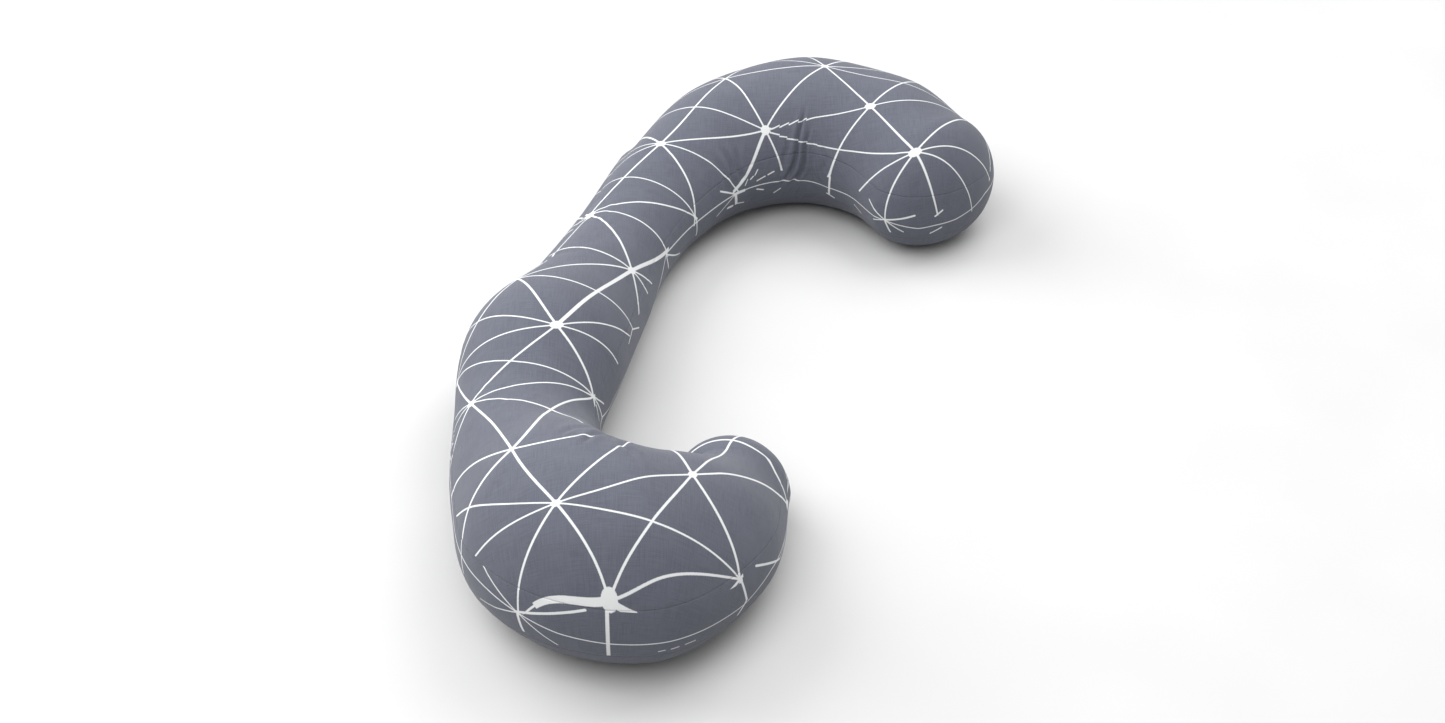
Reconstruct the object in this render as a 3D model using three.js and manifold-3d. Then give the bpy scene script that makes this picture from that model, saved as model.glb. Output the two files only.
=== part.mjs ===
// A long C-shaped nursing pillow: a zipped cover of three sewn panels, an inner casing and its filling.
// Millimetres, +Z up. The pillow lies on the plane z = 0 with its long direction along Y.

import * as THREE from 'three';
import { mergeVertices } from 'three/addons/utils/BufferGeometryUtils.js';
import Module from 'manifold-3d';

const wasm = await Module();
wasm.setup();

// Plan of the pillow. Each rib crosses it from a point on its inner edge to one on its outer edge,
// in order from the small tip, round the lobe, up the body and neck and along the arch to the head.
const RIBS = [
  { inner: [-60, -222], outer: [88, -224] },
  { inner: [-104, -245], outer: [58, -388] },
  { inner: [-126, -250], outer: [-55, -512] },
  { inner: [-132, -230], outer: [-185, -503] },
  { inner: [-137, -207], outer: [-285, -417] },
  { inner: [-142, -170], outer: [-322, -290] },
  { inner: [-148, -105], outer: [-341, -105] },
  { inner: [-122, 15], outer: [-338, 48] },
  { inner: [-98, 156], outer: [-262, 206] },
  { inner: [-72, 288], outer: [-207, 361] },
  { inner: [-25, 392], outer: [-152, 516] },
  { inner: [50, 470], outer: [-54, 664] },
  { inner: [132, 486], outer: [130, 733] },
  { inner: [185, 457], outer: [315, 661] },
  { inner: [228, 397], outer: [394, 553] },
];
const STEPS_PER_RIB = 3;    // cross-sections from one rib to the next
const CAP_STEPS = 8;        // steps round the tip's cap and round the head's cap
const TIP_CAP = 1.0;        // reach of each end cap, as a share of the end rib's half-width
const HEAD_CAP = 0.75;

// Cross-section, as shares of the half-width: height of the widest line, and the half-heights
// above and below it. The lower half is cut flat where the pillow rests.
const SEAT = 0.72;
const CROWN = 0.95;
const BELLY = 0.80;

// Layers, as depth in from the outside of the cover
const COVER_THICK = 1.5;
const CASING_DEPTH = 6;
const CASING_THICK = 1;
const FILLING_DEPTH = 10;

// Side band, as distances round the section from the widest line
const BAND_ABOVE = 36;
const BAND_BELOW = 48;
const ZIP_FLAT = 27;        // the stiff zip keeps the band flat this far above and below it
const SEAM_GAP = 0.5;       // between the edges of panels that are sewn together

// Zip, set lengthwise in the straight outer side of the neck, between ribs 8 and 10
const ZIP_RIBS = [8, 9, 10];
const ZIP_HEIGHT = 60;
const CHAIN_LENGTH = 300;
const TAPE_LENGTH = 318;
const TAPE_WIDTH = 12.5;
const TAPE_THICK = 0.6;
const TAPE_DEPTH = 2;
const TAPE_SPLIT = 4;       // between the two tapes' inner edges
const COIL_WIDTH = 2.6;
const COIL_THICK = 1.7;
const COIL_SPLIT = 1.6;     // channel between the coils that the slider's post runs in
const SLOT_HEIGHT = 13;
const SLIDER_LENGTH = 12;
const SLIDER_WIDTH = 9;
const SLIDER_START = -142;  // from the middle of the chain, zip closed
const PIN_OUT = 3;          // pull tab's pivot, out from the band
const PIN_THICK = 1.2;
const TAB_LENGTH = 27;
const TAB_WIDTH = 7;

const FABRIC = { cover: 0x777b89, tape: 0xd9d9d6, casing: 0xe9e6df, fill: 0xf4f2ec, label: 0xf6f5f1 };
const HARDWARE = { coil: 0xe2e2df, metal: 0xb9bcc0 };

// ---- the pillow's surface ----

const edgeCurve = (side) => new THREE.CatmullRomCurve3(
  RIBS.map((rib) => new THREE.Vector3(rib[side][0], rib[side][1], 0)), false, 'centripetal');
const innerEdge = edgeCurve('inner');
const outerEdge = edgeCurve('outer');

// The rib at a place t, counted in ribs from the tip
function ribAt(t) {
  const share = t / (RIBS.length - 1);
  const inner = innerEdge.getPoint(share);
  const outer = outerEdge.getPoint(share);
  const middle = inner.clone().lerp(outer, 0.5);
  return { inner, outer, middle, half: inner.distanceTo(outer) / 2 };
}

// One meridian: it climbs from the bottom's middle line, round the edge point, to the top's middle line
const meridian = (rib, edge) => ({
  spine: rib.middle, edge, half: rib.half, outward: edge.clone().sub(rib.middle).normalize() });

// Points each meridian's outward direction square to the outline, longer where the outline turns
function squareToOutline(ring) {
  const towards = (from, to) => to.edge.clone().sub(from.edge).normalize();
  ring.forEach((line, k) => {
    const before = towards(ring.at(k - 1), line);
    const after = towards(line, ring[(k + 1) % ring.length]);
    const run = before.clone().add(after).normalize();
    line.outward.set(run.y, -run.x, 0).divideScalar(Math.max(run.dot(before), 0.7));
  });
  return ring;
}

// Meridians round an end cap, from the edge point `from` to the opposite one, through the cap's far end
function capMeridians(rib, from, ahead, reach) {
  const arm = from.clone().sub(rib.middle);
  const across = new THREE.Vector3(-arm.y, arm.x, 0).normalize();
  if (across.dot(ahead) < 0) across.negate();
  const meridians = [];
  for (let i = 1; i < CAP_STEPS; i += 1) {
    const turn = Math.PI * i / CAP_STEPS;
    const edge = rib.middle.clone()
      .addScaledVector(arm, Math.cos(turn))
      .addScaledVector(across, rib.half * reach * Math.sin(turn));
    meridians.push(meridian(rib, edge));
  }
  return meridians;
}

// The closed ring of meridians, anticlockwise seen from above
function ringOfMeridians() {
  const last = RIBS.length - 1;
  const ribs = [];
  for (let i = 0; i <= last * STEPS_PER_RIB; i += 1) ribs.push(ribAt(i / STEPS_PER_RIB));
  const tip = ribs[0];
  const head = ribs[ribs.length - 1];
  const tipAhead = tip.middle.clone().sub(ribs[1].middle);
  const headAhead = head.middle.clone().sub(ribs[ribs.length - 2].middle);
  return [
    ...ribs.map((rib) => meridian(rib, rib.inner)),
    ...capMeridians(head, head.inner, headAhead, HEAD_CAP),
    ...ribs.map((rib) => meridian(rib, rib.outer)).reverse(),
    ...capMeridians(tip, tip.outer, tipAhead, TIP_CAP),
  ];
}
const RING = squareToOutline(ringOfMeridians());

// Frame of the zip: along the chain, up, and inward from the band's outer face
const zipRibs = ZIP_RIBS.map((t) => ribAt(t).outer);
const zipAlong = zipRibs[2].clone().sub(zipRibs[0]).normalize();
const zipUp = new THREE.Vector3(0, 0, 1);
const zipInward = zipAlong.clone().cross(zipUp);
const zipMiddle = zipRibs[1].clone().setZ(ZIP_HEIGHT);

// Moves a point of the outer side onto the zip's plane, at its layer's depth, along the zip's stretch
function flattenAtZip(point, depth, weight) {
  const from = point.clone().sub(zipMiddle);
  const reach = Math.abs(from.dot(zipAlong));
  const inward = from.dot(zipInward);
  const stretch = zipRibs[0].distanceTo(zipRibs[2]) / 2;
  if (reach > stretch + 1 || inward > stretch / 3 || Math.abs(from.z) > stretch) return point;
  return point.addScaledVector(zipInward, (depth - inward) * weight);
}

const topTurn = Math.PI / 2;
const flatTurn = (half, depth) => Math.asin((SEAT * half - depth) / (BELLY * half - depth));

// A row's height on a meridian. `level` runs from -2 (bottom's middle line), -1 (edge of the flat),
// through 0 (widest line) to 1 (top's middle line); `arc` is a distance from the widest line in mm.
function sectionPoint({ spine, edge, half, outward }, row, depth) {
  const seamTurn = (row.above ? BAND_ABOVE : BAND_BELOW) / half;
  let turn = row.arc === undefined ? 0 : Math.abs(row.arc) / half;
  let keep = 1;
  if (row.crown !== undefined) turn = THREE.MathUtils.lerp(seamTurn, topTurn, row.crown);
  if (row.belly !== undefined) turn = THREE.MathUtils.lerp(seamTurn, flatTurn(half, depth), row.belly);
  if (row.flat !== undefined) {
    turn = flatTurn(half, depth);
    keep = 1 - row.flat;
  }
  const share = row.crown === 1 ? 0 : Math.cos(turn) * keep;
  const rise = row.above
    ? (CROWN * half - depth) * Math.sin(turn)
    : -(BELLY * half - depth) * Math.sin(turn);
  const point = spine.clone().lerp(edge.clone().addScaledVector(outward, -depth), share);
  point.z = row.flat === undefined ? SEAT * half + rise : depth;
  return flattenAtZip(point, depth, row.zip ?? 0);
}

const arcRow = (arc, zip) => ({ arc, zip, above: arc >= 0 });
const crownRow = (crown) => ({ crown, above: true });
const bellyRow = (belly) => ({ belly, above: false });
const flatRow = (flat) => ({ flat, above: false });
const HALF_GAP = SEAM_GAP / 2;

const TOP_ROWS = [0.2, 0.4, 0.6, 0.8, 1].map(crownRow);
const BOTTOM_ROWS = [flatRow(1), flatRow(0), bellyRow(0.5)];
const UPPER_SIDE = [arcRow(ZIP_FLAT, 1), arcRow(BAND_ABOVE, 0.4)];
const LOWER_SIDE = [arcRow(-BAND_BELOW, 0.4), arcRow(-ZIP_FLAT, 1)];

// ---- meshes ----

// Collects faces over shared vertices, leaving out those that collapse to a line
class FaceList {
  constructor() {
    this.positions = [];
    this.indexOf = new Map();
    this.faces = [];
  }

  vertex(point) {
    const key = point.toArray().map((value) => Math.round(value * 1e4)).join();
    if (!this.indexOf.has(key)) {
      this.indexOf.set(key, this.positions.length / 3);
      this.positions.push(point.x, point.y, point.z);
    }
    return this.indexOf.get(key);
  }

  triangle(a, b, c) {
    if (a !== b && b !== c && c !== a) this.faces.push(a, b, c);
  }

  quad(a, b, c, d) {
    this.triangle(a, b, c);
    this.triangle(a, c, d);
  }

  geometry() {
    const geometry = new THREE.BufferGeometry();
    geometry.setAttribute('position', new THREE.Float32BufferAttribute(this.positions, 3));
    geometry.setIndex(this.faces);
    geometry.computeVertexNormals();
    return geometry;
  }
}

// A closed skin from rows of points; each row is a ring, or an open strip when `open` is set
function addSkin(list, grid, flip, open) {
  const count = grid[0].length;
  const last = open ? count - 1 : count;
  for (let r = 0; r + 1 < grid.length; r += 1) {
    for (let k = 0; k < last; k += 1) {
      const next = (k + 1) % count;
      const corners = [grid[r][k], grid[r][next], grid[r + 1][next], grid[r + 1][k]];
      if (flip) corners.reverse();
      list.quad(...corners);
    }
  }
}

const gridOf = (list, meridians, rows, depth) => rows.map(
  (row) => meridians.map((line) => list.vertex(sectionPoint(line, row, depth))));

// Solid body whose rows close at both middle lines
function solidOf(rows, depth) {
  const list = new FaceList();
  addSkin(list, gridOf(list, RING, rows, depth), false, false);
  return list.geometry();
}

// Shell between two depths; a row at a middle line closes it, any other end row gets a rim
function shellOf(rows, depth, thick, meridians = RING, open = false) {
  const list = new FaceList();
  const outside = gridOf(list, meridians, rows, depth);
  const inside = gridOf(list, meridians, rows, depth + thick);
  addSkin(list, outside, false, open);
  addSkin(list, inside, true, open);
  const top = rows.length - 1;
  if (rows[0].flat !== 1) addSkin(list, [inside[0], outside[0]], false, open);
  if (rows[top].crown !== 1) addSkin(list, [outside[top], inside[top]], false, open);
  if (open) {
    const column = (grid, k) => grid.map((row) => row[k]);
    const end = meridians.length - 1;
    addSkin(list, [column(inside, 0), column(outside, 0)], true, true);
    addSkin(list, [column(outside, end), column(inside, end)], true, true);
  }
  return list.geometry();
}

// ---- booleans ----

function toSolid(geometry) {
  const bare = geometry.clone();
  bare.deleteAttribute('normal');
  bare.deleteAttribute('uv');
  const merged = mergeVertices(bare, 1e-4);
  return new wasm.Manifold(new wasm.Mesh({
    numProp: 3,
    vertProperties: new Float32Array(merged.attributes.position.array),
    triVerts: new Uint32Array(merged.index.array),
  }));
}

function fromSolid(solid) {
  const mesh = solid.getMesh();
  const geometry = new THREE.BufferGeometry();
  geometry.setAttribute('position', new THREE.Float32BufferAttribute(mesh.vertProperties, 3));
  geometry.setIndex(Array.from(mesh.triVerts));
  geometry.computeVertexNormals();
  return geometry;
}

const joined = (geometries) => fromSolid(geometries.map(toSolid).reduce((a, b) => a.add(b)));
const cutBy = (geometry, cutter) => fromSolid(toSolid(geometry).subtract(toSolid(cutter)));

// ---- scene graph ----

const pillow = new THREE.Group();

// The zip's own frame: x along the chain from its closed end, y up, z into the pillow
const zip = new THREE.Group();
zip.matrixAutoUpdate = false;
zip.matrix.makeBasis(zipAlong, zipUp, zipInward).setPosition(zipMiddle);
pillow.add(zip);

function addPart(group, name, geometry, color, roughness, metalness = 0) {
  const material = new THREE.MeshStandardMaterial({ color, roughness, metalness });
  const mesh = new THREE.Mesh(geometry, material);
  mesh.name = name;
  group.add(mesh);
}

// A box by its low and high corners
function boxBetween(low, high) {
  const size = low.map((value, i) => high[i] - value);
  const middle = low.map((value, i) => (high[i] + value) / 2);
  return new THREE.BoxGeometry(...size).translate(...middle);
}

function addCover() {
  const top = [arcRow(BAND_ABOVE + HALF_GAP, 0.4), ...TOP_ROWS];
  const bottom = [...BOTTOM_ROWS, arcRow(-BAND_BELOW - HALF_GAP, 0.4)];
  const side = [arcRow(-BAND_BELOW + HALF_GAP, 0.4), arcRow(-ZIP_FLAT, 1), arcRow(0, 1),
    arcRow(ZIP_FLAT, 1), arcRow(BAND_ABOVE - HALF_GAP, 0.4)];
  const slotEnd = TAPE_LENGTH / 2 - 1;
  const slot = boxBetween([-slotEnd, -SLOT_HEIGHT / 2, -5], [slotEnd, SLOT_HEIGHT / 2, 5])
    .applyMatrix4(zip.matrix);
  addPart(pillow, 'cover_top_panel', shellOf(top, 0, COVER_THICK), FABRIC.cover, 0.9);
  addPart(pillow, 'cover_side_band', cutBy(shellOf(side, 0, COVER_THICK), slot), FABRIC.cover, 0.9);
  addPart(pillow, 'cover_bottom_panel', shellOf(bottom, 0, COVER_THICK), FABRIC.cover, 0.9);
}

function addInside() {
  const top = [arcRow(HALF_GAP, 1), ...UPPER_SIDE, ...TOP_ROWS];
  const bottom = [...BOTTOM_ROWS, ...LOWER_SIDE, arcRow(-HALF_GAP, 1)];
  const all = [...BOTTOM_ROWS, ...LOWER_SIDE, arcRow(0, 1), ...UPPER_SIDE, ...TOP_ROWS];
  addPart(pillow, 'inner_casing_top', shellOf(top, CASING_DEPTH, CASING_THICK), FABRIC.casing, 0.9);
  addPart(pillow, 'inner_casing_bottom', shellOf(bottom, CASING_DEPTH, CASING_THICK), FABRIC.casing, 0.9);
  addPart(pillow, 'filling', solidOf(all, FILLING_DEPTH), FABRIC.fill, 1);
}

// One coil as the smooth envelope of its turns
function coilGeometry(sign) {
  const section = new THREE.Shape();
  section.absellipse(0, 0, COIL_THICK / 2, COIL_WIDTH / 2, 0, 2 * Math.PI, false, 0);
  const coil = new THREE.ExtrudeGeometry(section, { depth: CHAIN_LENGTH, bevelEnabled: false, curveSegments: 3 });
  coil.rotateY(Math.PI / 2);
  return coil.translate(-CHAIN_LENGTH / 2, sign * (COIL_SPLIT + COIL_WIDTH) / 2, COIL_THICK / 2);
}

function addTapesAndCoils() {
  for (const [side, sign] of [['upper', 1], ['lower', -1]]) {
    const near = sign * TAPE_SPLIT / 2;
    const far = sign * (TAPE_SPLIT / 2 + TAPE_WIDTH);
    const tape = boxBetween(
      [-TAPE_LENGTH / 2, Math.min(near, far), TAPE_DEPTH],
      [TAPE_LENGTH / 2, Math.max(near, far), TAPE_DEPTH + TAPE_THICK]);
    addPart(zip, `zip_tape_${side}`, tape, FABRIC.tape, 0.9);
    addPart(zip, `zip_coil_${side}`, coilGeometry(sign), HARDWARE.coil, 0.5);
    const stopNear = sign * COIL_SPLIT / 2;
    const stopFar = sign * (COIL_SPLIT / 2 + COIL_WIDTH);
    const stop = boxBetween(
      [-CHAIN_LENGTH / 2 - 3.5, Math.min(stopNear, stopFar), 0],
      [-CHAIN_LENGTH / 2 - 0.5, Math.max(stopNear, stopFar), COIL_THICK]);
    addPart(zip, `zip_top_stop_${side}`, stop, HARDWARE.metal, 0.35, 1);
  }
  const reach = COIL_SPLIT / 2 + COIL_WIDTH;
  const end = CHAIN_LENGTH / 2;
  const bottomStop = boxBetween([end + 0.5, -reach, 0], [end + 4.5, reach, COIL_THICK]);
  addPart(zip, 'zip_bottom_stop', bottomStop, HARDWARE.metal, 0.35, 1);
}

// A plate of the slider: rounded ends, wider at the nose, where the coils part
function sliderPlate(outward, inward) {
  const nose = SLIDER_WIDTH / 2;
  const tail = SLIDER_WIDTH / 2 - 1;
  const end = SLIDER_LENGTH / 2;
  const shape = new THREE.Shape();
  shape.moveTo(-end + 1, -nose);
  shape.lineTo(end - 1, -tail);
  shape.quadraticCurveTo(end, -tail, end, -tail + 1);
  shape.lineTo(end, tail - 1);
  shape.quadraticCurveTo(end, tail, end - 1, tail);
  shape.lineTo(-end + 1, nose);
  shape.quadraticCurveTo(-end, nose, -end, nose - 1);
  shape.lineTo(-end, -nose + 1);
  shape.quadraticCurveTo(-end, -nose, -end + 1, -nose);
  const plate = new THREE.ExtrudeGeometry(shape, {
    depth: inward - outward, bevelEnabled: false, curveSegments: 3 });
  return plate.translate(SLIDER_START, 0, outward);
}

function addSlider() {
  const x = SLIDER_START;
  const wingOuter = SLIDER_WIDTH / 2 - 1;
  const bow = 1;            // half-width of the bow that holds the pull tab
  const solids = [
    sliderPlate(-2, -0.5),
    sliderPlate(3.2, 4.4),
    boxBetween([x - 5, -0.4, -1], [x - 2.6, 0.4, 3.6]),
    boxBetween([x - 3.4, -bow, -5], [x + 3.4, bow, -4.2]),
    boxBetween([x - 3.4, -bow, -5], [x - 2.4, bow, -1]),
    boxBetween([x + 2.4, -bow, -5], [x + 3.4, bow, -1]),
  ];
  for (const sign of [1, -1]) {
    const edges = [sign * (wingOuter + 0.4), sign * (wingOuter + 0.9)].sort((a, b) => a - b);
    solids.push(boxBetween([x - 5, edges[0], -1.5], [x - 1, edges[1], 1.4]));
  }
  addPart(zip, 'zip_slider', joined(solids), HARDWARE.metal, 0.3, 1);
}

// Pull tab: a rounded blade with an eye, its cross bar held under the slider's bow
function addPullTab() {
  const half = TAB_WIDTH / 2;
  const start = -PIN_THICK / 2;
  const outline = new THREE.Shape();
  outline.moveTo(start, -half + 0.8);
  outline.quadraticCurveTo(start, -half, start + 0.8, -half);
  outline.lineTo(TAB_LENGTH - half, -half);
  outline.absarc(TAB_LENGTH - half, 0, half, -Math.PI / 2, Math.PI / 2, false);
  outline.lineTo(start + 0.8, half);
  outline.quadraticCurveTo(start, half, start, half - 0.8);
  outline.closePath();
  const eye = new THREE.Path();
  eye.moveTo(PIN_THICK / 2, -1.6);
  eye.lineTo(PIN_THICK / 2, 1.6);
  eye.lineTo(6, 1.6);
  eye.lineTo(6, -1.6);
  eye.closePath();
  outline.holes.push(eye);
  const tab = new THREE.ExtrudeGeometry(outline, { depth: PIN_THICK, bevelEnabled: false, curveSegments: 5 });
  tab.translate(SLIDER_START, 0, -PIN_OUT - PIN_THICK / 2);
  addPart(zip, 'zip_pull_tab', tab, HARDWARE.metal, 0.3, 1);
}

// Blank label sewn into the seam above the band, behind the arch, hanging over the band
function addCareLabel() {
  const [start, end, columns] = [11.92, 12.08, 4];
  const lines = [];
  for (let i = 0; i <= columns; i += 1) {
    const rib = ribAt(THREE.MathUtils.lerp(end, start, i / columns));
    lines.push(meridian(rib, rib.outer));
  }
  const rows = [arcRow(-12, 0), arcRow(0, 0), arcRow(12, 0), arcRow(24, 0), arcRow(BAND_ABOVE - 1, 0)];
  addPart(pillow, 'care_label', shellOf(rows, -1.1, 0.5, lines, true), FABRIC.label, 0.8);
}

// Puts the middle of the cover's plan at the origin
function centrePlan() {
  const box = new THREE.Box3();
  for (const line of RING) box.expandByPoint(line.edge);
  const middle = box.getCenter(new THREE.Vector3());
  pillow.position.set(-Math.round(middle.x), -Math.round(middle.y), 0);
}

addCover();
addInside();
addTapesAndCoils();
addSlider();
addPullTab();
addCareLabel();
centrePlan();

export default pillow;
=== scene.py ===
"""Looks of a long C-shaped nursing pillow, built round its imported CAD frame. Metres, +Z up."""
import math

import bmesh
import bpy
import numpy as np
from mathutils import Matrix, Vector, noise
from mathutils.bvhtree import BVHTree


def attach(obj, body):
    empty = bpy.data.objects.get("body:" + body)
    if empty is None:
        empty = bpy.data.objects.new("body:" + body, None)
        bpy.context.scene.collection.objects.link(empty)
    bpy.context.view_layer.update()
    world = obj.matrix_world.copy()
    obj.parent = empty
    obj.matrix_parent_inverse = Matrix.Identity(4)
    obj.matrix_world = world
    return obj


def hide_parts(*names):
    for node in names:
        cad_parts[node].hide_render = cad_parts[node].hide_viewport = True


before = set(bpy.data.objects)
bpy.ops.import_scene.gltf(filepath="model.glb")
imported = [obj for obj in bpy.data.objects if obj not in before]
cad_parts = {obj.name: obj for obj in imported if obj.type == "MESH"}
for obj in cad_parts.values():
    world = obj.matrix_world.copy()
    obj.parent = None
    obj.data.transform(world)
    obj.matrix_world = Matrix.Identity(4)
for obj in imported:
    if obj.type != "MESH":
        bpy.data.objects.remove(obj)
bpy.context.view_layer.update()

# ---- plan, section and layers, the same as the CAD's ----

# Each rib crosses the plan from the inner edge to the outer edge, from the small tip to the head
RIBS = [
    ((-0.060, -0.222), (0.088, -0.224)),
    ((-0.104, -0.245), (0.058, -0.388)),
    ((-0.126, -0.250), (-0.055, -0.512)),
    ((-0.132, -0.230), (-0.185, -0.503)),
    ((-0.137, -0.207), (-0.285, -0.417)),
    ((-0.142, -0.170), (-0.322, -0.290)),
    ((-0.148, -0.105), (-0.341, -0.105)),
    ((-0.122, 0.015), (-0.338, 0.048)),
    ((-0.098, 0.156), (-0.262, 0.206)),
    ((-0.072, 0.288), (-0.207, 0.361)),
    ((-0.025, 0.392), (-0.152, 0.516)),
    ((0.050, 0.470), (-0.054, 0.664)),
    ((0.132, 0.486), (0.130, 0.733)),
    ((0.185, 0.457), (0.315, 0.661)),
    ((0.228, 0.397), (0.394, 0.553)),
]
PLAN_SHIFT = np.array([-0.033, -0.106])   # puts the middle of the plan at the origin
TIP_CAP = 1.0
HEAD_CAP = 0.75
SEAT = 0.72
CROWN = 0.95
BELLY = 0.80
CASING_DEPTH = 0.0065
FILLING_DEPTH = 0.0105
COVER_THICK = 0.0014
BAND_ABOVE = 0.036
BAND_BELOW = 0.048
HALF_GAP = 0.00005        # half the gap between two panels at their seam
ZIP_FLAT = 0.027          # height of the flat strip above and below the zip
ZIP_FADE_ACROSS = 0.045   # the flat strip fades out over this, above and below
ZIP_FADE_INSIDE = 0.004   # and from just inside the zip's end
ZIP_FADE_OUTSIDE = 0.008  # to just outside it
SHARPEST_LEAN = 0.7       # keeps an offset edge from running away at a sharp bend
CROWN_REACH = 0.975       # length of cloth over the crown, as a share of a circle's arc

# ---- surface of the pillow ----


def spline(points, t):
    """Centripetal Catmull-Rom curve through points, at places t counted in points."""
    p = np.asarray(points, float) + PLAN_SHIFT
    p = np.vstack([2 * p[0] - p[1], p, 2 * p[-1] - p[-2]])
    i = np.minimum(t.astype(int), len(points) - 2)
    w = (t - i)[:, None]
    p0, p1, p2, p3 = p[i], p[i + 1], p[i + 2], p[i + 3]
    d0, d1, d2 = (np.sqrt(np.linalg.norm(b - a, axis=1))[:, None]
                  for a, b in ((p0, p1), (p1, p2), (p2, p3)))
    m1 = ((p1 - p0) / d0 - (p2 - p0) / (d0 + d1) + (p2 - p1) / d1) * d1
    m2 = ((p2 - p1) / d1 - (p3 - p1) / (d1 + d2) + (p3 - p2) / d2) * d1
    return (p1 + m1 * w + (-3 * p1 + 3 * p2 - 2 * m1 - m2) * w ** 2
            + (2 * p1 - 2 * p2 + m1 + m2) * w ** 3)


def unit(v):
    return v / np.linalg.norm(v, axis=-1, keepdims=True)


class Ring:
    """Meridians of the pillow, anticlockwise from the tip's inner side.

    It holds their edge and spine points, half widths, ways out, and distances round the outline."""

    def __init__(self, steps, cap_steps):
        t = np.arange((len(RIBS) - 1) * steps + 1) / steps
        inner = spline([rib[0] for rib in RIBS], t)
        outer = spline([rib[1] for rib in RIBS], t)
        middle = (inner + outer) / 2
        half = np.linalg.norm(outer - inner, axis=1) / 2
        turn = (np.pi * np.arange(1, cap_steps) / cap_steps)[:, None]

        def cap(start, centre, reach, ahead):
            arm = start - centre
            across = np.array([-arm[1], arm[0]]) / np.linalg.norm(arm)
            across = across * np.sign(across @ ahead) * np.linalg.norm(arm) * reach
            return centre + np.cos(turn) * arm + np.sin(turn) * across

        head = cap(inner[-1], middle[-1], HEAD_CAP, middle[-1] - middle[-1 - steps])
        tip = cap(outer[0], middle[0], TIP_CAP, middle[0] - middle[steps])
        ends = cap_steps - 1
        self.edge = np.vstack([inner, head, outer[::-1], tip])
        self.spine = np.vstack([middle, np.repeat(middle[-1:], ends, 0),
                                middle[::-1], np.repeat(middle[:1], ends, 0)])
        self.half = np.concatenate([half, np.repeat(half[-1:], ends), half[::-1], np.repeat(half[:1], ends)])
        before = unit(self.edge - np.roll(self.edge, 1, 0))
        after = unit(np.roll(self.edge, -1, 0) - self.edge)
        run = unit(before + after)
        lean = np.maximum((run * before).sum(1), SHARPEST_LEAN)[:, None]
        self.outward = np.stack([run[:, 1], -run[:, 0]], 1) / lean
        step = np.linalg.norm(np.roll(self.edge, -1, 0) - self.edge, axis=1)
        self.run = np.concatenate([[0], np.cumsum(step)[:-1]])


def smooth(low, high, x):
    w = np.clip((x - low) / (high - low), 0, 1)
    return w * w * (3 - 2 * w)


ZIP_PLACES = np.array([8.0, 9.0, 10.0])
ZIP_HEIGHT = 0.060
zip_ribs = spline([rib[1] for rib in RIBS], ZIP_PLACES)
zip_middle = np.array([*zip_ribs[1], ZIP_HEIGHT])
zip_along = np.array([*unit(zip_ribs[2] - zip_ribs[0]), 0.0])
zip_up = np.array([0.0, 0.0, 1.0])
zip_inward = np.cross(zip_along, zip_up)
ZIP_REACH = np.linalg.norm(zip_ribs[2] - zip_ribs[0]) / 2


def flatten_at_zip(points, arc, depth):
    """Lays the band flat on the zip's plane along the zip, fading out round it."""
    rel = points - zip_middle
    along = np.abs(rel @ zip_along)
    inward = rel @ zip_inward
    weight = 1 - smooth(ZIP_REACH - ZIP_FADE_INSIDE, ZIP_REACH + ZIP_FADE_OUTSIDE, along)
    weight *= 1 - smooth(ZIP_FLAT, ZIP_FLAT + ZIP_FADE_ACROSS, np.abs(arc))
    weight *= inward < ZIP_REACH / 2
    return points + ((depth - inward) * weight)[:, None] * zip_inward


def section(ring, row, depth=0.0):
    """One row of points round the pillow, with their heights above the widest line and their cloth places."""
    kind, value = row
    half = ring.half
    belly = BELLY * half - depth
    flat_turn = np.arcsin((SEAT * half - depth) / belly)
    keep = 1.0
    if kind == "arc":
        turn = value / half
    elif kind == "crown":
        seam = BAND_ABOVE / half
        turn = seam + (np.pi / 2 - seam) * value
    elif kind == "belly":
        seam = BAND_BELOW / half
        turn = -(seam + (flat_turn - seam) * value)
    else:
        turn = -flat_turn
        keep = 1 - value
    share = (np.cos(turn) * keep)[:, None]
    if row == ("crown", 1.0):
        share = share * 0
    edge = ring.edge - ring.outward * depth
    plan = ring.spine + (edge - ring.spine) * share
    rise = np.where(turn > 0, CROWN * half - depth, belly) * np.sin(turn)
    z = np.full(len(half), depth) if kind == "flat" else SEAT * half + rise
    points = flatten_at_zip(np.column_stack([plan, z]), turn * half, depth)
    # The same place on the laid-out cloth, measured from the spine, and drawn in near a cap's pole
    length = np.linalg.norm(edge - ring.spine, axis=1)
    if kind == "flat":
        reach = length * share[:, 0]
    else:
        short = (1 - np.minimum(length / half, 1)) * (1 - smooth(0, 0.75, share[:, 0]))
        reach = CROWN_REACH * half * (np.pi / 2 - turn) * (1 - short)
    cloth = ring.spine + unit(ring.edge - ring.spine) * reach[:, None]
    return points, turn * half, cloth


# Rows of the panels, closer together by the seams
SEAM_STEPS = [0.0, 0.012, 0.025, 0.04, 0.058, 0.08]
TOP_ROWS = [("crown", v) for v in [*SEAM_STEPS, *np.linspace(0.11, 1, 27).tolist()]]
BAND_ROWS = [("arc", v) for v in [
    -BAND_BELOW + HALF_GAP, -0.0465, -0.045, *np.linspace(-0.0425, 0.0305, 20).tolist(),
    0.033, 0.0345, BAND_ABOVE - HALF_GAP]]
BOTTOM_ROWS = [("flat", v) for v in np.linspace(1, 0.1, 8).tolist()]
BOTTOM_ROWS += [("flat", v) for v in (0.05, 0.02, 0.0)]
BOTTOM_ROWS += [("belly", v) for v in [*np.linspace(0.95, 0.1, 12).tolist(), 0.06, 0.03, 0.012, 0.0]]
SAME_POINT = 2e-6
NO_LENGTH = 1e-7


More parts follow.
